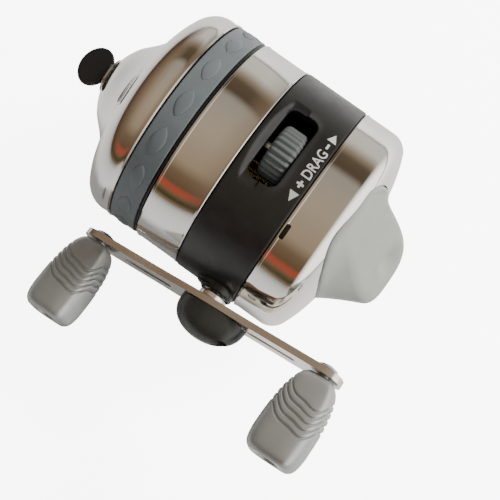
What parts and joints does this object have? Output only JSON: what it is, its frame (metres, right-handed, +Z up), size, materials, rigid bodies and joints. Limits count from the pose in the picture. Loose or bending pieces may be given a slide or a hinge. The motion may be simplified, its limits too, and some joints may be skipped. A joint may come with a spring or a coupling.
{
  "type": "spincast reel",
  "caption": "Closed-face spincast fishing reel with a double-handled crank, thumb button, drag wheel, covered spool and a rod-seat foot.",
  "frame": {"origin": "underside of the foot, below the middle of the belt", "axes": "+Y along the main axis to the line exit, +Z up away from the foot, crank on the -X side"},
  "size_m": [0.1099, 0.1302, 0.0841],
  "materials": {
    "polished_steel": "polished",
    "black_paint": "satin",
    "grey_rubber": "satin",
    "grey_plastic": "satin",
    "button_plastic": "satin",
    "dark_plastic": "satin",
    "black_rubber": "matte",
    "machined_steel": "machined",
    "brass": "machined",
    "cast_alloy": "cast",
    "felt": "felt",
    "fishing_line": "gloss"
  },
  "bodies": {
    "reel_body": {"body_belt": "black_paint", "rear_cover": "polished_steel", "front_sleeve": "polished_steel", "cover_seal": "black_rubber", "grip_ring": "grey_rubber", "nose_cone_cover": "polished_steel", "line_guide_ring": "machined_steel", "reel_foot": "black_paint", "foot_screw_rear": "machined_steel", "foot_screw_front": "machined_steel", "deck_plate": "cast_alloy", "deck_screw_1": "machined_steel", "deck_screw_2": "machined_steel", "deck_screw_3": "machined_steel", "pawl_pivot": "machined_steel", "pinion_bearing": "machined_steel", "pinion_bushing": "brass", "crank_bushing": "brass", "crank_bearing": "machined_steel", "spool_clip": "machined_steel"},
    "spool": {"spool": "cast_alloy", "wound_line": "fishing_line"},
    "drag_nut": {"drag_gear": "brass", "drag_washer": "machined_steel", "felt_washer": "felt"},
    "drag_wheel": {"drag_wheel": "grey_plastic", "drag_spindle": "machined_steel", "drag_pinion": "brass"},
    "pinion": {"pinion_gear": "brass", "anti_reverse_ratchet": "machined_steel"},
    "pickup": {"centre_shaft": "machined_steel", "pickup_head": "machined_steel", "head_nut": "brass", "spring_clip": "machined_steel", "return_spring": "machined_steel"},
    "pickup_pin": {"pickup_pin": "machined_steel"},
    "pawl": {"anti_reverse_pawl": "machined_steel"},
    "thumb_button": {"thumb_button": "button_plastic"},
    "line_plug": {"line_keeper_plug": "black_rubber"},
    "crank": {"crank_shaft": "machined_steel", "crank_collar": "polished_steel", "drive_gear": "brass", "crank_arm": "polished_steel", "handle_nut": "machined_steel", "nut_cap": "dark_plastic", "cap_screw": "machined_steel", "front_grip_spindle": "machined_steel", "rear_grip_spindle": "machined_steel", "front_grip_nut": "machined_steel", "rear_grip_nut": "machined_steel"},
    "front_grip": {"front_grip": "grey_plastic"},
    "rear_grip": {"rear_grip": "grey_plastic"}
  },
  "joints": [
    {"name": "crank_spin", "type": "hinge", "parent": "reel_body", "child": "crank", "pos_m": [0, -0.0052, 0.046], "axis": [1, 0, 0], "continuous": true},
    {"name": "front_grip_spin", "type": "hinge", "parent": "crank", "child": "front_grip", "pos_m": [-0.058, 0.03567, 0.02998], "axis": [1, 0, 0], "continuous": true},
    {"name": "rear_grip_spin", "type": "hinge", "parent": "crank", "child": "rear_grip", "pos_m": [-0.058, -0.04607, 0.06202], "axis": [1, 0, 0], "continuous": true},
    {"name": "pinion_spin", "type": "hinge", "parent": "reel_body", "child": "pinion", "pos_m": [0, 0.0084, 0.046], "axis": [0, 1, 0], "continuous": true},
    {"name": "thumb_press", "type": "slide", "parent": "reel_body", "child": "thumb_button", "axis": [0, 1, 0], "range_m": [0, 0.006], "stiffness_N_per_m": 400, "springref_m": -0.002},
    {"name": "head_slide", "type": "slide", "parent": "pinion", "child": "pickup", "axis": [0, 1, 0], "range_m": [0, 0.006], "deforming": ["return_spring"]},
    {"name": "pin_retract", "type": "slide", "parent": "pickup", "child": "pickup_pin", "axis": [1, 0, 0], "range_m": [-0.0024, 0]},
    {"name": "pawl_swing", "type": "hinge", "parent": "reel_body", "child": "pawl", "pos_m": [0.013, 0.01175, 0.041], "axis": [0, 1, 0], "range_deg": [0, 12], "stiffness_Nm_per_rad": 0.002, "springref_deg": -11.46},
    {"name": "spool_slip", "type": "hinge", "parent": "reel_body", "child": "spool", "pos_m": [0, 0.027, 0.046], "axis": [0, 1, 0], "continuous": true},
    {"name": "drag_nut_turn", "type": "hinge", "parent": "reel_body", "child": "drag_nut", "pos_m": [0, 0.017, 0.046], "axis": [0, 1, 0], "range_deg": [-30, 30]},
    {"name": "drag_wheel_turn", "type": "hinge", "parent": "reel_body", "child": "drag_wheel", "pos_m": [0, 0.0011, 0.07537], "axis": [0, 1, 0], "range_deg": [-210, 210]},
    {"name": "plug_pull", "type": "slide", "parent": "reel_body", "child": "line_plug", "axis": [0, 1, 0], "range_m": [0, 0.012]}
  ],
  "couplings": [
    {"joint": "pinion_spin", "follows": "crank_spin", "ratio": 3.4},
    {"joint": "head_slide", "follows": "thumb_press", "ratio": 1},
    {"joint": "pin_retract", "follows": "thumb_press", "ratio": -0.4},
    {"joint": "drag_wheel_turn", "follows": "drag_nut_turn", "ratio": -5.7143}
  ]
}
